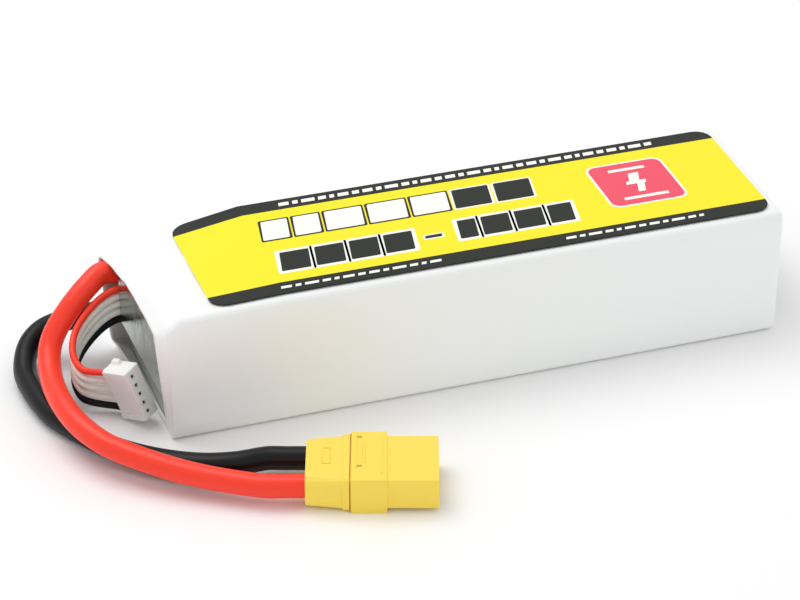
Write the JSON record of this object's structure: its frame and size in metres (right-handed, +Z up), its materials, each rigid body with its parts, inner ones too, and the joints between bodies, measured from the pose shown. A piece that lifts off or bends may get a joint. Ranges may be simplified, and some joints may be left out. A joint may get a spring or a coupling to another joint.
{
  "type": "lithium polymer battery pack",
  "caption": "Shrink-wrapped battery brick with printed label, open lead end, two thick power leads to a two-part plug and a thin balance lead to a flat housing",
  "frame": {"origin": "Middle of the wrapped pack's footprint, on the surface that it lies on.", "axes": "+X runs along the pack away from the lead end, +Y across it, +Z up out of the label."},
  "size_m": [0.1857, 0.0917, 0.0346],
  "materials": {
    "white_shrink_film": "smooth shrink film, satin gloss",
    "label_film": "printed gloss film, yellow with charcoal bands",
    "pad_foam": "closed-cell foam",
    "foil_tape": "bright foil with fine lines",
    "fibre_card": "pressed insulating card",
    "circuit_board": "solder-masked glass fibre board",
    "tab_metal": "plated strip",
    "fibre_tape": "fibre reinforced tape",
    "cell_pouch": "laminated foil pouch, satin",
    "red_silicone": "soft silicone insulation, satin",
    "black_silicone": "soft silicone insulation, satin",
    "white_silicone": "soft silicone insulation, satin",
    "yellow_nylon": "moulded, fine satin",
    "white_nylon": "moulded, satin",
    "gold_plate": "gold plated, bright",
    "shrink_tube": "shrunk tube, matt"
  },
  "bodies": {
    "pack": {"balance_board": "circuit_board", "balance_plug": "white_nylon", "balance_terminal_1": "gold_plate", "balance_terminal_2": "gold_plate", "balance_terminal_3": "gold_plate", "balance_terminal_4": "gold_plate", "balance_terminal_5": "gold_plate", "balance_wire_1": "red_silicone", "balance_wire_2": "white_silicone", "balance_wire_3": "white_silicone", "balance_wire_4": "white_silicone", "balance_wire_5": "black_silicone", "black_lead": "black_silicone", "cell_1": "cell_pouch", "cell_2": "cell_pouch", "cell_3": "cell_pouch", "cell_4": "cell_pouch", "cell_pad_1": "pad_foam", "cell_pad_2": "pad_foam", "cell_pad_3": "pad_foam", "contact_minus": "gold_plate", "contact_plus": "gold_plate", "end_foil": "foil_tape", "joint_sleeve_minus": "shrink_tube", "joint_sleeve_plus": "shrink_tube", "label": "label_film", "main_tab_minus": "tab_metal", "main_tab_plus": "tab_metal", "plug_housing": "yellow_nylon", "rear_foam": "pad_foam", "red_lead": "red_silicone", "shrink_sleeve": "white_shrink_film", "stack_tape_front": "fibre_tape", "stack_tape_rear": "fibre_tape", "tab_card": "fibre_card", "tab_link_1": "tab_metal", "tab_link_2": "tab_metal", "tab_link_3": "tab_metal"},
    "cap": {"plug_cap": "yellow_nylon"}
  },
  "joints": [
    {"name": "cap_slide", "type": "slide", "parent": "pack", "child": "cap", "axis": [-0.95, 0.3123, 0], "range_m": [0, 0.007]}
  ]
}
